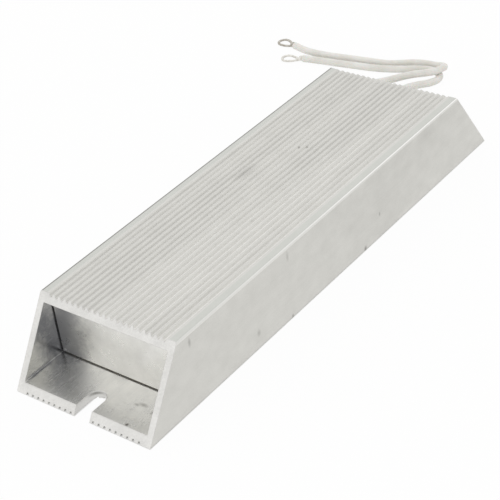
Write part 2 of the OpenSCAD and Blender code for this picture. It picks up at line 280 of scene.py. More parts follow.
def grid_faces(rows, cols, start=0):
    """Quads between rows of a grid whose columns close on themselves."""
    i, j = np.meshgrid(np.arange(rows - 1), np.arange(cols), indexing="ij")
    k = (j + 1) % cols
    return (start + np.stack([i * cols + j, i * cols + k, (i + 1) * cols + k,
                              (i + 1) * cols + j], -1)).reshape(-1, 4)


def pole_faces(rows, cols):
    """A face on the first row and one on the last, which close such a grid."""
    return [list(range(cols))[::-1], list(range((rows - 1) * cols, rows * cols))]


def end_caps(outer, inner, form):
    """Flat triangles between the outlines at both mitre planes, as point numbers.

    They are found on bent copies, where every straight run lies hollow as seen
    from the metal, so that no triangle has its three points on one line. A bent
    point is (x (1 - k (1 - z^2)), z (1 - k (1 - x^2))) from the section's middle,
    with x and z in half sizes and k of 0.01 outside and -0.01 inside."""
    half = np.array([form.width, form.height]) / 2
    loops = []
    for profile, k in ((outer, 0.01), (inner, -0.01)):
        p = (profile - (0, half[1])) / half
        p = p * (1 - k * (1 - p[:, ::-1] ** 2)) * half
        loops.append([Vector((*point, 0)) for point in p.tolist()])
    return np.array(tessellate_polygon(loops))


def slot_cutter(form):
    """A closed body that cuts one mounting slot and breaks its long edges.

    Its outline is a U, half a circle of slot radius r round (0, c) and two
    straight legs to beyond the base's end. At height z it is spread outwards by
    the broken edge at both faces of the base wall and beyond."""
    r, c = form.slot / 2, form.length / 2 - form.slot_depth + form.slot / 2
    broken, base, beyond = form.broken, form.base, 1 * MM
    levels = (-beyond, 0, broken, base - broken, base, base + beyond)
    spread = (broken + beyond, broken, 0, 0, broken, broken + beyond)
    leg_end = form.length / 2 + 5 * MM
    rows = []
    for z, s in zip(levels, spread):
        line = np.vstack([arc((0, c), r + s, 180, 360, 33),
                          (r + s, leg_end), (-r - s, leg_end)])
        rows.append(np.stack([line[:, 0], line[:, 1], np.full(len(line), z)], 1))
    rows = np.stack(rows)
    shape = rows.shape[:2]
    return rows.reshape(-1, 3), grid_faces(*shape).tolist() + pole_faces(*shape)


# ---- the leads and their terminals ----

def run_along(points, power=1.0):
    """The sum of the steps before each point, each step raised to a power."""
    steps = np.linalg.norm(np.diff(points, axis=0), axis=1)
    return np.concatenate([[0], np.cumsum(steps ** power)])


def smooth_path(points, step):
    """A centripetal Catmull-Rom curve through the points, as points a step apart.

    Between p1 and p2 the knots are t(i+1) = t(i) + |p(i+1) - p(i)|^0.5 and the
    curve is the pyramid of linear blends of p0 to p3 over them."""
    p = np.asarray(points, float)
    p = np.vstack([2 * p[0] - p[1], p, 2 * p[-1] - p[-2]])
    knots = run_along(p, 0.5)
    a, b, c, d = (p[i:len(p) - 3 + i, None] for i in range(4))
    ta, tb, tc, td = (knots[i:len(p) - 3 + i, None, None] for i in range(4))
    t = tb + (tc - tb) * np.linspace(0, 1, 33)[None, :-1, None]
    ab = (a * (tb - t) + b * (t - ta)) / (tb - ta)
    bc = (b * (tc - t) + c * (t - tb)) / (tc - tb)
    cd = (c * (td - t) + d * (t - tc)) / (td - tc)
    abc = (ab * (tc - t) + bc * (t - ta)) / (tc - ta)
    bcd = (bc * (td - t) + cd * (t - tb)) / (td - tb)
    curve = ((abc * (tc - t) + bcd * (t - tb)) / (tc - tb)).reshape(-1, 3)
    curve = np.vstack([curve, p[-2]])
    along = run_along(curve)
    s = np.linspace(0, along[-1], max(2, int(round(along[-1] / step)) + 1))
    return np.stack([np.interp(s, along, curve[:, i]) for i in range(3)], 1), s


def level_frames(path):
    """Unit tangents of a path, and at each the level direction to its right
    and the direction square to both."""
    t = np.gradient(path, axis=0)
    t /= np.linalg.norm(t, axis=1)[:, None]
    side = np.cross(t, (0, 0, 1))
    side /= np.linalg.norm(side, axis=1)[:, None]
    return t, side, np.cross(side, t)


def sleeve_surface(path, s, form, seed):
    """The sleeve as a surface of s along the lead and angle a round it.

    The radius is R (1 + wobble + braid): the wobble is a sum of slow sines in s
    and a, and the braid is two crossing helices, cos(n a + k s) cos(n a - k s),
    which lift the crossings of the glass fibre a little. The far mouth turns in
    over a half circle of the wall's thickness to the barrel, runs 2.2 mm back
    inside and closes there. Nothing dips into the floor."""
    n = 40
    a = np.linspace(0, 2 * np.pi, n, endpoint=False)[None]
    rng = np.random.default_rng(seed)
    ss = s[:, None] / MM
    wobble = sum(rng.uniform(0.2, 1) * np.sin(ss / rng.uniform(2.5, 14) + k * a
                                              + rng.uniform(0, 6.3))
                 for k in (0, 1, 1, 2, 2, 3)) / 6
    turn = form.braid_turns * a
    climb = 2 * np.pi * ss / form.braid_pitch
    braid = np.cos(turn + climb) * np.cos(turn - climb)
    fade = np.clip(ss / 4, 0, 1)
    r = SLEEVE_R * MM * (0.985 + fade * (0.016 * wobble + 0.008 * braid))
    t, side, up = level_frames(path)
    ring = np.cos(a)[..., None] * side[:, None] + np.sin(a)[..., None] * up[:, None]
    body = path[:, None] + r[..., None] * ring

    wall = SLEEVE_R * MM - form.barrel / 2 - 0.04 * MM
    phi = np.linspace(0, np.pi, 7)[1:, None]
    mouth_r = r[-1:] - wall * (1 - np.cos(phi)) / 2
    mouth_r = np.concatenate([mouth_r, mouth_r[-1:], mouth_r[-1:] * 0.02])
    mouth_s = np.concatenate([0.3 * wall * np.sin(phi), np.full((2, 1), -2.2 * MM)])
    mouth = path[-1] + mouth_s[..., None] * t[-1] + mouth_r[..., None] * ring[-1:]
    start = path[0] + 0.02 * (body[:1] - path[0])
    rows = np.concatenate([start, body, mouth])
    rows[..., 2] = np.maximum(rows[..., 2], 0.01 * MM)

    faces = grid_faces(len(rows), n)
    poles = [face[::-1] for face in pole_faces(len(rows), n)]
    v = np.concatenate([[s[0]], s, s[-1] + np.linspace(0.1, 1, 8) * MM]) / MM
    spokes = np.tile(np.arange(n), len(rows) - 1)
    u = np.stack([spokes, spokes + 1, spokes + 1, spokes], 1) / n
    uv = np.stack([u, v[faces // n]], -1)[:, ::-1].reshape(-1, 2)
    uv = np.concatenate([uv, np.full((2 * n, 2), uv[-1])])
    return rows.reshape(-1, 3), faces[:, ::-1].tolist() + poles, uv


def ring_surface(form):
    """The terminal's eyelet, a flat bar bent into a drop whose point is the neck.

    The bar's middle runs round (c + A cos t, B sin t (0.74 + 0.26 cos t)). Its
    section is |u / half width|^5 + |v / half thickness|^5 = 1, with u outwards
    across the bar and v up."""
    rows, cols = 96, 24
    bar, thick = (form.ring - form.stud) / 4, form.sheet
    tip, heel = form.reach + form.ring / 2 - bar, form.crimp + bar
    t = np.linspace(0, 2 * np.pi, rows, endpoint=False)
    taper = 0.74 + 0.26 * np.cos(t)
    half = (form.ring / 2 - bar) / 0.826    # B, most of which the taper takes back
    line = np.stack([(tip + heel) / 2 + (tip - heel) / 2 * np.cos(t),
                     half * np.sin(t) * taper], 1)
    along = np.roll(line, -1, 0) - np.roll(line, 1, 0)
    along /= np.linalg.norm(along, axis=1)[:, None]
    out = np.stack([along[:, 1], -along[:, 0]], 1)
    s = np.linspace(0, 2 * np.pi, cols, endpoint=False)
    c, q = np.cos(s), np.sin(s)
    u = bar * np.sign(c) * np.abs(c) ** 0.4
    v = thick / 2 + thick / 2 * np.sign(q) * np.abs(q) ** 0.4
    flat = line[:, None] + u[None, :, None] * out[:, None]
    points = np.concatenate([flat, np.broadcast_to(v, (rows, cols))[..., None]], -1)
    faces = grid_faces(rows + 1, cols) % (rows * cols)
    return points.reshape(-1, 3) + (0, 0, form.lift), faces[:, ::-1].tolist()


def neck_surface(form):
    """Barrel and neck: a section carried along x that turns from a round tube
    into a flat bar, whose end lies inside the eyelet's bar.

    The section at x is the superellipse |y / b|^p + |z / h|^p = 1. Along the
    crimped barrel b = h = its radius, dented by the crimper, and p = 2. Over the
    neck b, h, the middle's height and p run to the flat bar's by a smoothstep."""
    cols = 36
    r, ahead = form.barrel / 2, form.crimp + 0.9 * MM
    bend, dent_at = form.crimp * 0.6, form.crimp * 0.4
    x = np.concatenate([np.linspace(-3, 0, 8) * MM, np.linspace(0, 1, 36)[1:] * ahead])
    k = np.clip((x - bend) / (ahead - bend), 0, 1)
    k = k * k * (3 - 2 * k)
    dent = 0.16 * r * np.exp(-((x - dent_at) / (0.45 * MM)) ** 2)
    b = (r + dent * 0.5) * (1 - k) + k * form.neck / 2
    h = (r - dent) * (1 - k) + k * form.sheet / 2 * 0.98
    middle = (SLEEVE_R * MM) * (1 - k) + k * (form.lift + form.sheet / 2)
    a = np.linspace(0, 2 * np.pi, cols, endpoint=False)[None]
    c, q = np.cos(a), np.sin(a)
    power = (2 / (2 + 4 * k))[:, None]
    y = b[:, None] * np.sign(c) * np.abs(c) ** power
    z = middle[:, None] + h[:, None] * np.sign(q) * np.abs(q) ** power
    rows = np.stack([np.broadcast_to(x[:, None], y.shape), y, z], -1)
    first, last = rows[:1].mean(1, keepdims=True), rows[-1:].mean(1, keepdims=True)
    rows = np.concatenate([first + 0.01 * (rows[:1] - first), rows,
                           last + 0.01 * (rows[-1:] - last)])
    faces = grid_faces(len(rows), cols).tolist() + pole_faces(len(rows), cols)
    return rows.reshape(-1, 3), faces


def place_on_end(points, path):
    """Turns points drawn along +x to the path's last level direction, and moves
    them to its end."""
    t = path[-1] - path[-2]
    angle = np.arctan2(t[1], t[0])
    turn = np.array([[np.cos(angle), np.sin(angle), 0],
                     [-np.sin(angle), np.cos(angle), 0], [0, 0, 1]])
    return points @ turn + (path[-1, 0], path[-1, 1], 0)


# ---- finishes ----

def spots(tree, place, marks):
    """The strongest of a set of soft oval masks, 1 in a mark's middle and 0 at
    its edge. A mark is a middle, half widths along x, y and z, all in mm, and a
    strength."""
    most = None
    for middle, widths, strength in marks:
        near = add(tree, "Mapping", {"Vector": place, "Location": np.array(middle) * MM,
                                     "Scale": np.array(widths) * MM},
                   vector_type="TEXTURE")
        near = add(tree, "TexGradient", {"Vector": near.outputs[0]},
                   gradient_type="SPHERICAL")
        near = add(tree, "Math", {0: near.outputs[1], 1: strength},
                   operation="MULTIPLY").outputs[0]
        if most is not None:
            near = add(tree, "Math", {0: most, 1: near}, operation="MAXIMUM").outputs[0]
        most = near
    return most


def aluminium(name, colour, shade, rough, streak, grain, extra=None, relief=0.04,
              **constants):
    """Bare aluminium, drawn through a die along y, sawn or rolled.

    What it gives the eye: a pale, slightly warm grey sheen with fine lines along
    the draw, soft cloudy patches of oxide, and a fine grit. streak and grain are
    the shares that the lines and the grit have in the pattern. extra paints what
    one finish alone has: it takes the tree, the place and the paint. relief is
    the height of the grain in mm."""
    mat, tree, place = new_material(name)
    # lines drawn 0.35 mm apart and about 60 mm long, coarser than the real ones
    lines = add(tree, "Mapping", {"Vector": place, "Scale": (2800, 16, 2800)})
    lines = add(tree, "TexNoise", {"Vector": lines.outputs[0], "Scale": 1.0,
                                   "Detail": 3.0, "Roughness": 0.6})
    # oxide clouds of about 6 mm
    clouds = add(tree, "Mapping", {"Vector": place, "Scale": (1, 0.7, 1)})
    clouds = add(tree, "TexNoise", {"Vector": clouds.outputs[0], "Scale": 165.0,
                                    "Detail": 5.0, "Roughness": 0.62})
    # grit of 0.5 mm
    grit = add(tree, "TexNoise", {"Vector": place, "Scale": 2000.0, "Detail": 2.0})
    mixed = add(tree, "Math", {0: lines.outputs[0], 1: streak}, operation="MULTIPLY")
    mixed = add(tree, "Math", {0: clouds.outputs[0], 1: 1 - streak - grain,
                               2: mixed.outputs[0]}, operation="MULTIPLY_ADD")
    mixed = add(tree, "Math", {0: grit.outputs[0], 1: grain, 2: mixed.outputs[0]},
                operation="MULTIPLY_ADD")
    tone = add(tree, "MapRange", {"Value": mixed.outputs[0], "From Min": 0.38,
                                  "From Max": 0.62})
    paint = add(tree, "Mix", {0: tone.outputs[0], 6: linear(shade), 7: linear(colour)},
                data_type="RGBA").outputs[2]
    if extra:
        paint = extra(tree, place, paint)
    gloss = add(tree, "MapRange", {"Value": mixed.outputs[0], "From Min": 0.35,
                                   "From Max": 0.65, "To Min": rough + 0.06,
                                   "To Max": rough - 0.05})
    bump = add(tree, "Bump", {"Height": mixed.outputs[0], "Strength": 0.35,
                              "Distance": relief * MM})
    shader = add(tree, "BsdfPrincipled", {
        "Metallic": 1.0, "Base Color": paint, "Roughness": gloss.outputs[0],
        "Normal": bump.outputs[0], **constants})
    add(tree, "OutputMaterial", {"Surface": shader.outputs[0]})
    return mat


def coats(tree, paint, *layers):
    """The paint under coats, each a mask and the hex colour laid on where it is 1."""
    for mask, hex_colour in layers:
        paint = add(tree, "Mix", {0: mask, 6: paint, 7: linear(hex_colour)},
                    data_type="RGBA").outputs[2]
    return paint


def blotched_shade(tree, place, paint, form, marks, thin, thick, most=1.0):
    """Painted shade laid over the paint, its edge broken up by blotches of about 2 mm.
    It shows where mark and blotch together pass thin, and is full at thick."""
    blotch = add(tree, "TexNoise", {"Vector": place, "Scale": 480.0, "Detail": 5.0,
                                    "Roughness": 0.7}).outputs[0]
    mask = add(tree, "Math", {0: spots(tree, place, marks), 1: blotch},
               operation="ADD").outputs[0]
    mask = add(tree, "MapRange", {"Value": mask, "From Min": thin,
                                  "From Max": thick, "To Max": most}).outputs[0]
    return coats(tree, paint, (mask, form.corner_shade))


def zone(tree, *edges):
    """A mask that is 1 past every edge. An edge is a value, and where the mask
    starts to rise and where it is full, in metres. The rises are smooth and are
    multiplied."""
    whole = None
    for value, low, high in edges:
        past = add(tree, "MapRange", {"Value": value, "From Min": low,
                                      "From Max": high},
                   interpolation_type="SMOOTHSTEP").outputs[0]
        whole = past if whole is None else add(
            tree, "Math", {0: whole, 1: past}, operation="MULTIPLY").outputs[0]
    return whole


def plain_finish(name, colour, shade, rough, metallic, scale, depth=0.03):
    """A finish of one substance whose tone and grain vary a little at one scale,
    given as noise cells a metre. depth is the height of the grain in mm."""
    mat, tree, place = new_material(name)
    noise = add(tree, "TexNoise", {"Vector": place, "Scale": scale, "Detail": 4.0})
    tone = add(tree, "MapRange", {"Value": noise.outputs[0], "From Min": 0.35,
                                  "From Max": 0.65})
    paint = add(tree, "Mix", {0: tone.outputs[0], 6: linear(shade), 7: linear(colour)},
                data_type="RGBA")
    bump = add(tree, "Bump", {"Height": noise.outputs[0], "Strength": 0.4,
                              "Distance": depth * MM})
    shader = add(tree, "BsdfPrincipled", {
        "Base Color": paint.outputs[2], "Metallic": metallic, "Roughness": rough,
        "Normal": bump.outputs[0]})
    add(tree, "OutputMaterial", {"Surface": shader.outputs[0]})
    return mat


def braided_sleeve(name, form):
    """Glass-fibre sleeve filled with white silicone. The braid shows as faint
    crossing lines, and the fibres as fine lines along each band. It reads the
    piece's own map: turns round the lead, and millimetres along it."""
    mat, tree, place = new_material(name)
    uv = add(tree, "UVMap", uv_map="surface").outputs[0]
    part = add(tree, "SeparateXYZ", {"Vector": uv})
    turn = add(tree, "Math", {0: part.outputs["X"], 1: 2 * np.pi * form.braid_turns},
               operation="MULTIPLY")
    climb = 2 * np.pi / form.braid_pitch
    bands = []
    for sign in (1, -1):
        phase = add(tree, "Math", {0: part.outputs["Y"], 1: sign * climb,
                                   2: turn.outputs[0]}, operation="MULTIPLY_ADD")
        bands.append(add(tree, "Math", {0: phase.outputs[0]}, operation="COSINE"))
    cross = add(tree, "Math", {0: bands[0].outputs[0], 1: bands[1].outputs[0]},
                operation="MULTIPLY")
    # fibres of 0.4 mm, coarser than the real ones
    fibres = add(tree, "TexNoise", {"Vector": place, "Scale": 2600.0, "Detail": 2.0})
    # smudges of 6 mm from handling
    smudge = add(tree, "TexNoise", {"Vector": place, "Scale": 160.0, "Detail": 4.0})
    height = add(tree, "Math", {0: fibres.outputs[0], 1: 1.2, 2: cross.outputs[0]},
                 operation="MULTIPLY_ADD")
    tone = add(tree, "MapRange", {"Value": smudge.outputs[0], "From Min": 0.36,
                                  "From Max": 0.64})
    paint = add(tree, "Mix", {0: tone.outputs[0], 6: linear(form.sleeve_shade),
                              7: linear(form.sleeve_colour)}, data_type="RGBA")
    bump = add(tree, "Bump", {"Height": height.outputs[0], "Strength": 0.5,
                              "Distance": 0.05 * MM})
    shader = add(tree, "BsdfPrincipled", {
        "Base Color": paint.outputs[2], "Roughness": 0.62, "IOR": 1.42,
        "Subsurface Weight": 0.08, "Subsurface Scale": 1 * MM,
        "Sheen Weight": 0.15, "Normal": bump.outputs[0]})
    add(tree, "OutputMaterial", {"Surface": shader.outputs[0]})
    return mat


# ---- settings ----

def size(name, description, value, **more):
    """A length property in metres from a value in millimetres."""
    return bpy.props.FloatProperty(name=name, description=description,
                                   default=value * MM, min=0.0, unit="LENGTH",
                                   precision=5, **more)


def number(name, description, value, low=0.0, high=1.0, **more):
    """A plain number."""
    return bpy.props.FloatProperty(name=name, description=description, default=value,
                                   min=low, max=high, **more)


def whole_number(name, description, value):
    """A whole number of at least 2."""
    return bpy.props.IntProperty(name=name, description=description, default=value,
                                 min=2)


def colour(name, description, value):
    """A colour kept as an sRGB hex text."""
    return bpy.props.StringProperty(name=name, description=description, default=value)


class ExtrusionForm(bpy.types.PropertyGroup):
    """Sizes of the housing's surface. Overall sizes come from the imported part."""
    width: size("Width", "Over the side walls", (HOUSING_HIGH[0] - HOUSING_LOW[0]) / MM)
    height: size("Height", "Mounting face to rib crests", HOUSING_HIGH[2] / MM)
    length: size("Length", "Along the mounting face",
                 (HOUSING_HIGH[1] - HOUSING_LOW[1]) / MM)
    lean: size("Mitre lean", "How far an end leans back over the height", 20.2)
    wall: size("Side wall", "Thickness of a side wall",
               (HOUSING_HIGH[0] - MICA_HIGH[0]) / MM - 0.5)
    base: size("Base wall", "Thickness of the base wall", MICA_LOW[2] / MM)
    top: size("Top wall", "Thickness of the top wall at a crest", 3.2)
    corner: size("Top corner", "Radius of the long top corners", 0.8)
    foot: size("Foot corner", "Radius of the long foot corners", 0.4)
    inner: size("Inner corner", "Radius of the cavity's corners", 0.25)
    pitch: size("Rib pitch", "Distance from rib to rib", 2.5)
    grooves: whole_number("Grooves", "Number of grooves in the top", 21)
    rib: size("Rib height", "Depth of the grooves", 1.05)
    flank: number("Flank", "Slope of a rib's flanks in degrees", 60, 30, 85)
    crest_share: number("Crest share", "The crest's part of a rib's two radii", 0.56)
    notch: size("Notch", "Width and depth of a notch in the foot", 0.8)
    slot: size("Slot width", "Width of a mounting slot", 7.0)
    slot_depth: size("Slot depth", "From the base's end to the slot's bottom", 12.0)
    broken: size("Broken edge", "Width of the edge that the file leaves", 0.14)
    metal: colour("Aluminium", "Drawn skin where it is palest", "#dad9d4")
    metal_shade: colour("Aluminium, shaded", "Drawn skin under oxide", "#d3d2cd")
    sawn: colour("Sawn face", "Mitred ends, palest", "#dad9d6")
    sawn_shade: colour("Sawn face, shaded", "Mitred ends between saw marks", "#d0cfcc")
    plate: colour("Plate", "End plates", "#f4f3ef")
    plate_shade: colour("Plate, shaded", "End plates in their streaks", "#e8e7e3")
    # groove colours: the lighter one is painted light, laid on some grooves against
    # their shade
    groove: colour("Groove", "The skin in the duller grooves", "#d4d3cf")
    groove_painted_lighter: colour("Groove, bright", "The skin in brighter grooves", "#e5e4e0")
    # the crest tops, painted a little darker than the skin
    crest: colour("Crest", "Crests that the hand has rubbed", "#d1d0cc")
    # the left long top corner and the foot, painted darker than the skin
    dull: colour("Dull corner", "The left long top corner, and the foot", "#94938f")
    strip: colour("Plain strip", "The colder grey strip beside the ribs", "#c9cac5")
    # painted highlight on the right long top corner; also the pale scratches on the
    # cavity floor and pale marks on a plate
    highlight_and_pale_marks: colour("Rubbed", "The right long top corner, and scratches", "#f7f6f3")
    oxide: colour("Nicks", "Dark oxide in nicks", "#7f7d78")
    # painted paler than the outer skin: painted light against the cavity's shade
    inside: colour("Cavity", "Drawn skin inside, palest", "#e4e3df")
    inside_shade: colour("Cavity, shaded", "Drawn skin inside under oxide", "#d6d6d3")
    # painted shade and dark reflection of the cavity's left rear corner
    corner_shade: colour("Residue", "What the cement's firing left", "#96979b")
    rough: number("Roughness", "Roughness of the drawn skin", 0.42)
    rough_inside: number("Roughness inside", "Roughness in the cavity", 0.24)
    rough_plate: number("Roughness of plates", "Roughness of the end plates", 0.3)


class LeadForm(bpy.types.PropertyGroup):
    """Sizes and colours of the two leads and their terminals."""
    braid_pitch: number("Braid pitch", "Millimetres along the lead for a turn of phase",
                        2.6, 0.5, 50)
    braid_turns: whole_number("Braid bands", "Bands of fibre round the lead", 8)
    barrel: size("Barrel", "Diameter of a terminal's barrel", 2.6)
    crimp: size("Crimp", "Length of the barrel outside the sleeve", 2.2)
    neck: size("Neck", "Width of the neck where it meets the ring", 1.7)
    sheet: size("Sheet", "Thickness of the ring", 0.7)
    ring: size("Ring", "Outer diameter of the ring", 6.6)
    stud: size("Stud hole", "Diameter of the hole", 4.4)
    reach: size("Reach", "From the sleeve's mouth to the stud's axis", 7.7)
    lift: size("Lift", "From the floor to the ring's underside", 0.3)
    sleeve_colour: colour("Sleeve", "Silicone and glass-fibre sleeve", "#eceae5")
    sleeve_shade: colour("Sleeve, soiled", "The sleeve where it is handled", "#e1dfd8")
    tin: colour("Tin", "Tin plating", "#cbc8c1")
    tin_shade: colour("Tin, dull", "Tin plating by the crimp", "#a39c91")
    tin_bright: colour("Tin, bright", "The right terminal, less handled", "#efede7")


class ElementForm(bpy.types.PropertyGroup):
    """Colours of the pieces inside the housing."""
    cement: colour("Cement", "Fired filling", "#d6cfc1")
    cement_shade: colour("Cement, shaded", "Fired filling in its pores", "#bdb5a6")
    ceramic: colour("Ceramic", "Cores", "#efebe1")
    ceramic_shade: colour("Ceramic, shaded", "Cores in their pores", "#e2dccd")
    ribbon: colour("Ribbon", "Windings", "#8f8b86")
    ribbon_shade: colour("Ribbon, dull", "Windings under oxide", "#76706a")
    tinned: colour("Tinned steel", "Clips, link strip and ferrules", "#b3b0a9")
    tinned_shade: colour("Tinned steel, dull", "Clips under oxide", "#98948b")
    copper: colour("Copper", "Strands of the leads", "#c98a5c")
    copper_shade: colour("Copper, dull", "Strands under oxide", "#a3663e")
    mica: colour("Mica", "Sheets over and under the filling", "#cbb98f")
    mica_shade: colour("Mica, shaded", "Sheets between the flakes", "#a8936a")


class StageForm(bpy.types.PropertyGroup):
    """Light and floor."""
    back: number("Back light", "Power of the soft lamp above the leads", 0.35, 0, 100,
                 unit="POWER")
    front: number("Front light", "Power of the soft lamp before the plain end", 0.35,
                  0, 100, unit="POWER")
    fill: number("Sky", "Strength of the even light from all round", 0.95, 0, 10)
    white: number("Floor white", "How far the floor hides its shadow", 0.95)
    under: number("White under the base", "The same under the mounting face", 0.3)
    floor: colour("Floor", "Pale floor", "#f4f4f2")


# ---- operators ----

class RESISTOR_OT_camera(bpy.types.Operator):
    """Sets up the camera: above the right-hand side of the plain end"""
    bl_idname = "resistor.camera"
    bl_label = "Place camera"

    def execute(self, context):
        # its place, and the directions away from its aim and to its right
        place = (0.3048, -0.36192, 0.32426)
        back = Vector((0.54345, -0.62421, 0.56128)).normalized()
        right = Vector((0.79624, 0.59504, -0.10919))
        right = (right - back * right.dot(back)).normalized()
        up = back.cross(right)
        data = bpy.data.cameras.new("camera")
        data.lens, data.sensor_width = 110.1, 36    # in mm
        camera = bpy.data.objects.new("camera", data)
        turn = Matrix((right, up, back)).transposed().to_4x4()
        camera.matrix_world = Matrix.Translation(place) @ turn
        context.scene.collection.objects.link(camera)
        context.scene.camera = camera
        return {"FINISHED"}


class RESISTOR_OT_leads(bpy.types.Operator):
    """Makes the two sleeved leads and their ring terminals"""
    bl_idname = "resistor.leads"
    bl_label = "Make leads"

    def execute(self, context):
        form = context.scene.resistor_leads
        sleeve = braided_sleeve("braided_silicone_sleeve", form)
        # tin plating: a soft satin grey, browner where it was handled
        dull = plain_finish("tinned_copper_handled", form.tin, form.tin_shade,
                            0.45, 1.0, 900.0)
        bright = plain_finish("tinned_copper_bright", form.tin_bright, form.tin,
                              0.45, 1.0, 900.0)
        end = HOUSING_HIGH[1] / MM
        for side, route, sign, tin in (("left", ROUTE_LEFT, -1, dull),
                                       ("right", ROUTE_RIGHT, 1, bright)):
            route = [(sign * LEAD_X, LEAD_START, LEAD_Z),
                     (sign * LEAD_X, LEAD_EXIT, LEAD_Z), *route]
            points = np.array([(a, end + b, c) for a, b, c in route]) * MM
            path, s = smooth_path(points, 0.3 * MM)
            verts, faces, uv = sleeve_surface(path, s, form, 7 + sign)
            lead = mesh_piece(f"lead_{side}_sleeve", verts, faces, [sleeve],
                              60, uv)
            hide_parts(f"lead_{side}")
            terminal = self.terminal(f"ring_terminal_{side}_tinned", form, path, tin)
            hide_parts(f"ring_terminal_{side}")
        return {"FINISHED"}

    def terminal(self, name, form, path, tin):
        """Ring and neck as one mesh at the end of a lead."""
        ring, ring_faces = ring_surface(form)
        neck, neck_faces = neck_surface(form)
        verts = place_on_end(np.concatenate([ring, neck]), path)
        faces = ring_faces + [[i + len(ring) for i in face] for face in neck_faces]
        return mesh_piece(name, verts, faces, [tin], 60)


class RESISTOR_OT_housing(bpy.types.Operator):
    """Makes the ribbed, mitred extrusion with its mounting slots"""
    bl_idname = "resistor.housing"
    bl_label = "Make housing"

    def execute(self, context):
        form = context.scene.resistor_housing
        # mill finish, as the die left it: satin with faint lines, dulled by grit
        drawn = aluminium("mill_finish_aluminium", form.metal, form.metal_shade,
                          form.rough, 0.2, 0.3, self.handled)
        # the same skin inside, which nothing has worn: smoother and glossier, and
        # painted paler than outside as painted light against the cavity's shade
        inside = aluminium("mill_finish_aluminium_inside_painted_paler", form.inside,
                           form.inside_shade, form.rough_inside, 0.35, 0.1,
                           self.shade_and_marks, Metallic=0.85)
        # sawn across: matt and gritty, with hardly a line
        sawn = aluminium("sawn_aluminium", form.sawn, form.sawn_shade,
                         form.rough, 0.05, 0.5, self.rimmed)
        outlines = outer_profile(form), inner_profile(form)
        skins = [mitred_skin(outline, form) for outline in outlines]
        (rows, n), (inner_rows, m) = (skin.shape[:2] for skin in skins)
        first = rows * n    # the first point of the inner skin
        faces = np.concatenate([grid_faces(rows, n),
                                grid_faces(inner_rows, m, first)])[:, ::-1]
        cap = end_caps(*(line + left_normals(line) * form.broken for line in outlines),
                       form)
        near = np.where(cap < n, cap, cap - n + first)
        far = near + np.where(cap < n, first - n, (inner_rows - 1) * m)
        faces = faces.tolist() + near.tolist() + far[:, ::-1].tolist()
        verts = np.concatenate([skin.reshape(-1, 3) for skin in skins])
        shell = mesh_piece("housing_shell", verts, faces, [drawn, sawn, inside],
                           SHARP)
        self.cut_slots(context, shell, form)
        self.sort_finishes(shell, form)
        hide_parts("housing")
        return {"FINISHED"}

    def handled(self, tree, place, paint):
        """The skin outside: grooves, some painted lighter as painted light against
        their shade, darker crest tops, a plain strip of colder grey beside the ribs, a
        painted highlight along the right long top corner, the left one darker, a darker
        foot, and a few nicks."""
        form = bpy.context.scene.resistor_housing
        x, y, z = add(tree, "SeparateXYZ", {"Vector": place}).outputs
        w, h, rib = form.width / 2, form.height, form.rib
        groove = zone(tree, (z, h - 0.15 * MM, h - 0.7 * rib),
                      (z, h - rib - 0.2 * MM, h - rib))
        crest = zone(tree, (z, h - 0.05 * MM, h - 0.01 * MM))
        # painted light: over about 9 mm some grooves are painted lighter against their
        # own shade, more of them to the right and fewer towards both ends
        lit_grooves = add(tree, "Mapping", {"Vector": place, "Scale": (110, 5, 0)})
        lit_grooves = add(tree, "TexNoise", {"Vector": lit_grooves.outputs[0], "Scale": 1.0,
                                      "Detail": 3.0}).outputs[0]
        for value, share in ((x, 5.0), (zone(tree, (y, -0.1, -0.055)), 0.12),
                             (zone(tree, (y, 0.0, 0.09)), -0.12)):
            lit_grooves = add(tree, "Math", {0: value, 1: share, 2: lit_grooves},
                       operation="MULTIPLY_ADD").outputs[0]
        lit_grooves = zone(tree, (lit_grooves, 0.45, 0.77))
        bright = add(tree, "Mix", {0: lit_grooves, 6: linear(form.groove),
                                   7: linear(form.groove_painted_lighter)},
                     data_type="RGBA").outputs[2]
        paint = add(tree, "Mix", {0: groove, 6: paint, 7: bright},
                    data_type="RGBA").outputs[2]

        beside = add(tree, "Math", {0: x}, operation="ABSOLUTE").outputs[0]
        strip = zone(tree, (beside, w - 3.3 * MM, w - 2.9 * MM),
                     (z, h - 0.5 * MM, h - 0.2 * MM))
        foot = add(tree, "Math", {0: zone(tree, (z, 1 * MM, 0.3 * MM)), 1: 0.25},
                   operation="MULTIPLY").outputs[0]
        right, left = (add(tree, "Math", {0: z, 1: x}, operation=kind).outputs[0]
                       for kind in ("ADD", "SUBTRACT"))
        left = zone(tree, (left, w + h - 1.15 * MM, w + h - 0.95 * MM),
                    (z, h - 0.6 * MM, h - 0.3 * MM))
        right = zone(tree, (right, w + h - 0.55 * MM, w + h - 0.5 * MM))
        # painted highlight along the right long top corner, stronger towards the leads
        highlight_fade = add(tree, "MapRange", {"Value": y, "From Min": -0.1, "From Max": 0.03,
                                      "To Min": 0.3}).outputs[0]
        right = add(tree, "Math", {0: right, 1: highlight_fade}, operation="MULTIPLY").outputs[0]
        return coats(tree, paint, (crest, form.crest), (strip, form.strip),
                     (foot, form.dull), (right, form.highlight_and_pale_marks), (left, form.dull),
                     (spots(tree, place, NICKS), form.oxide))

    def shade_and_marks(self, tree, place, paint):
        """The skin inside: painted shade and a painted dark reflection in the left
        corner by the plate, blotched, and scratches and specks on the floor."""
        form = bpy.context.scene.resistor_housing
        # painted shade and dark reflection in the left rear corner
        paint = blotched_shade(tree, place, paint, form, CORNER_SHADE, 0.62, 1.25)
        return coats(tree, paint, (spots(tree, place, SCRATCHES), form.highlight_and_pale_marks),
                     (spots(tree, place, SPECKS + RIM), form.oxide))

    def rimmed(self, tree, place, paint):
        """Darkens the rim of the front slot's round bottom."""
        form = bpy.context.scene.resistor_housing
        return coats(tree, paint, (spots(tree, place, RIM), form.oxide))

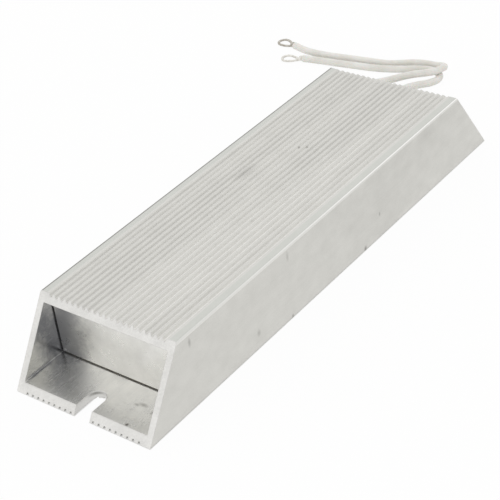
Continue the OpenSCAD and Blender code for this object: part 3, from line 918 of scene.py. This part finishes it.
    def cut_slots(self, context, shell, form):
        """Takes both slots out of the shell and keeps the result as its mesh."""
        verts, faces = slot_cutter(form)
        mirrored = [[i + len(verts) for i in face[::-1]] for face in faces]
        mesh = bpy.data.meshes.new("slot_cutter")
        mesh.from_pydata(np.concatenate([verts, verts * (1, -1, 1)]), [],
                         faces + mirrored)
        cutter = bpy.data.objects.new("slot_cutter", mesh)
        context.scene.collection.objects.link(cutter)
        cut = shell.modifiers.new("slots", "BOOLEAN")
        cut.operation, cut.solver, cut.object = "DIFFERENCE", "EXACT", cutter
        graph = context.evaluated_depsgraph_get()
        made = bpy.data.meshes.new_from_object(shell.evaluated_get(graph))
        shell.modifiers.clear()
        shell.data = made
        bpy.data.objects.remove(cutter)
        if len(made.polygons) < len(faces):
            raise RuntimeError("The slots could not be cut")

    def sort_finishes(self, shell, form):
        """Gives each face its finish: sawn on the mitred ends and in the slots,
        inside in the cavity, and drawn elsewhere."""
        mesh = shell.data
        count = len(mesh.polygons)
        normal, centre = np.empty(3 * count), np.empty(3 * count)
        mesh.polygons.foreach_get("normal", normal)
        mesh.polygons.foreach_get("center", centre)
        normal, centre = normal.reshape(-1, 3), centre.reshape(-1, 3)
        x, y, z = np.abs(centre[:, 0]), np.abs(centre[:, 1]), centre[:, 2]
        near = 0.01 * MM
        ends = np.abs(normal[:, 1]) > 0.5
        slot = ((x < form.slot / 2 + form.broken) & (z < form.base + form.broken / 2)
                & (y > form.length / 2 - form.slot_depth - form.broken)
                & (np.abs(normal[:, 2]) < 0.9))
        cavity = ((x < form.width / 2 - form.wall + near) & (z > form.base - near)
                  & (z < form.height - form.top + near))
        index = np.where(ends | slot, 1, np.where(cavity, 2, 0)).astype(np.int32)
        mesh.polygons.foreach_set("material_index", index)
        mesh.shade_smooth()
        mesh.set_sharp_from_angle(angle=np.radians(SHARP))


class RESISTOR_OT_plates(bpy.types.Operator):
    """Finishes the two end plates"""
    bl_idname = "resistor.plates"
    bl_label = "Finish end plates"

    def execute(self, context):
        form = context.scene.resistor_housing
        # rolled sheet: the palest, and so smooth that it mirrors the cavity softly
        plate = aluminium("rolled_aluminium_sheet", form.plate, form.plate_shade,
                          form.rough_plate, 0.1, 0.2, self.shade_and_marks, 0.012)
        for node in ("front_end_plate", "rear_end_plate"):
            dress(node, plate)
        return {"FINISHED"}

    def shade_and_marks(self, tree, place, paint):
        """Painted shade and a painted dark reflection of the left wall reach over the
        plate's left edge.
        """
        form = bpy.context.scene.resistor_housing
        # painted shade and dark reflection of the left wall on the plate's left part
        paint = blotched_shade(tree, place, paint, form, CORNER_SHADE_ON_PLATE, 0.8, 1.25, 0.5)
        return coats(tree, paint, (spots(tree, place, PALE_CORNER_MARKS), form.highlight_and_pale_marks))


class RESISTOR_OT_element(bpy.types.Operator):
    """Finishes the filling, cores, windings and joints inside the housing"""
    bl_idname = "resistor.element"
    bl_label = "Finish inner pieces"

    def execute(self, context):
        form = context.scene.resistor_element
        finish = {}
        for kind, name, rough, metallic, scale, depth in (
                # cast and fired filling: chalky, matt and full of pores
                ("cement", "fired_cement", 0.95, 0.0, 260.0, 0.2),
                # unglazed alumina: smooth, matt and faintly cream
                ("ceramic", "unglazed_alumina", 0.7, 0.0, 500.0, 0.03),
                # rolled nickel-chrome ribbon: a brownish satin grey
                ("ribbon", "resistance_alloy", 0.42, 1.0, 1200.0, 0.03),
                # tin-plated steel: a soft, slightly warm gloss
                ("tinned", "tinned_steel", 0.35, 1.0, 700.0, 0.03),
                # bare drawn copper: warm, with fine dull streaks
                ("copper", "stranded_copper", 0.32, 1.0, 2500.0, 0.03),
                # pressed mica: pale brown flakes with a faint gloss
                ("mica", "pressed_mica", 0.4, 0.0, 350.0, 0.03)):
            finish[kind] = plain_finish(name, getattr(form, kind),
                                        getattr(form, kind + "_shade"), rough,
                                        metallic, scale, depth)
        pairs = {"cement_filling": "cement", "mica_sheet_top": "mica",
                 "mica_sheet_bottom": "mica", "link_strip": "tinned"}
        for side in ("left", "right"):
            pairs |= {f"core_{side}": "ceramic", f"winding_{side}": "ribbon",
                      f"front_clip_{side}": "tinned", f"rear_clip_{side}": "tinned",
                      f"ferrule_{side}": "tinned", f"strand_{side}": "copper"}
        for node, kind in pairs.items():
            dress(node, finish[kind])
        return {"FINISHED"}


class RESISTOR_OT_stage(bpy.types.Operator):
    """Lays the pale floor and sets the lamps and the sky"""
    bl_idname = "resistor.stage"
    bl_label = "Set stage"

    def execute(self, context):
        form = context.scene.resistor_stage
        context.scene.view_settings.view_transform = "Standard"
        self.floor(context, form)
        self.sky(context, form)
        # a lamp's name, power, width, place and what it faces
        for name, power, width, place, aim in (
                ("back", form.back, 0.8, (-0.6, 0.8, 0.8), (0, 0, 0.02)),
                ("front", form.front, 0.6, (-0.5, -0.9, 0.3), (0, -0.1, 0.015))):
            lamp = bpy.data.lights.new(name, "AREA")
            lamp.energy, lamp.size = power, width
            obj = bpy.data.objects.new(name, lamp)
            context.scene.collection.objects.link(obj)
            facing = (Vector(place) - Vector(aim)).to_track_quat("Z", "Y")
            obj.matrix_world = Matrix.Translation(place) @ facing.to_matrix().to_4x4()
        return {"FINISHED"}

    def seen_white(self, tree):
        """1 for rays from the camera, from a glossy bounce and through glass."""
        path = add(tree, "LightPath")
        seen = path.outputs["Is Camera Ray"]
        for kind in ("Is Glossy Ray", "Is Transmission Ray"):
            seen = add(tree, "Math", {0: seen, 1: path.outputs[kind]},
                       operation="MAXIMUM").outputs[0]
        return seen

    def floor(self, context, form):
        """A level square of pale floor that stays white round the part's shadow,
        but not under the base, where no light reaches outside the slots."""
        half = 3.0    # metres
        mesh = bpy.data.meshes.new("floor")
        mesh.from_pydata([(-half, -half, 0), (half, -half, 0), (half, half, 0),
                          (-half, half, 0)], [], [(0, 1, 2, 3)])
        floor = bpy.data.objects.new("floor", mesh)
        floor.location.z = -0.1 * MM
        context.scene.collection.objects.link(floor)
        mat, tree, place = new_material("pale_floor")
        mesh.materials.append(mat)
        lit = add(tree, "BsdfDiffuse", {"Color": linear(form.floor)})
        white = add(tree, "Emission", {"Color": (1, 1, 1, 1), "Strength": 1.0})
        at = add(tree, "SeparateXYZ", {"Vector": place}).outputs
        x, y = (add(tree, "Math", {0: at[axis]}, operation="ABSOLUTE").outputs[0]
                for axis in ("X", "Y"))
        house = context.scene.resistor_housing
        w, end = house.width / 2, house.length / 2
        slot_w, slot_end = house.slot / 2, end - house.slot_depth
        bare = zone(tree, (y, slot_end - 1 * MM, slot_end),
                    (x, slot_w, slot_w - 0.5 * MM))
        for past in (zone(tree, (x, w - 0.3 * MM, w)),
                     zone(tree, (y, end - 0.3 * MM, end))):
            bare = add(tree, "Math", {0: bare, 1: past}, operation="MAXIMUM").outputs[0]
        reach = add(tree, "MapRange", {"Value": bare, "To Min": form.under,
                                       "To Max": form.white})
        mostly = add(tree, "Math", {0: self.seen_white(tree), 1: reach.outputs[0]},
                     operation="MULTIPLY")
        both = add(tree, "MixShader", {0: mostly.outputs[0], 1: lit.outputs[0],
                                       2: white.outputs[0]})
        add(tree, "OutputMaterial", {"Surface": both.outputs[0]})

    def sky(self, context, form):
        """Even light from all round, which camera and gloss see as white."""
        world = bpy.data.worlds.new("sky")
        world.use_nodes = True
        tree = world.node_tree
        tree.nodes.clear()
        even = add(tree, "Background", {"Color": (1, 1, 1, 1), "Strength": form.fill})
        white = add(tree, "Background", {"Color": (1, 1, 1, 1), "Strength": 1.0})
        both = add(tree, "MixShader", {0: self.seen_white(tree), 1: even.outputs[0],
                                       2: white.outputs[0]})
        add(tree, "OutputWorld", {"Surface": both.outputs[0]})
        context.scene.world = world


class RESISTOR_PT_panel(bpy.types.Panel):
    """Lists the settings and the steps"""
    bl_idname = "RESISTOR_PT_panel"
    bl_label = "Housed resistor"
    bl_space_type = "VIEW_3D"
    bl_region_type = "UI"
    bl_category = "Resistor"

    def draw(self, context):
        for group in GROUPS:
            box = self.layout.box()
            for name in GROUPS[group].__annotations__:
                box.prop(getattr(context.scene, group), name)
        for step in STEPS:
            self.layout.operator(step.bl_idname)


STEPS = (RESISTOR_OT_camera, RESISTOR_OT_leads, RESISTOR_OT_housing,
         RESISTOR_OT_plates, RESISTOR_OT_element, RESISTOR_OT_stage)
GROUPS = {"resistor_housing": ExtrusionForm, "resistor_leads": LeadForm,
          "resistor_element": ElementForm, "resistor_stage": StageForm}
CLASSES = (*GROUPS.values(), *STEPS, RESISTOR_PT_panel)


def register():
    for cls in CLASSES:
        bpy.utils.register_class(cls)
    for name, group in GROUPS.items():
        setattr(bpy.types.Scene, name, bpy.props.PointerProperty(type=group))


def unregister():
    for name in GROUPS:
        delattr(bpy.types.Scene, name)
    for cls in reversed(CLASSES):
        bpy.utils.unregister_class(cls)


def main():
    """Makes every piece in turn."""
    register()
    for step in STEPS:
        group, name = step.bl_idname.split(".")
        getattr(getattr(bpy.ops, group), name)()


if __name__ == "__main__":
    main()
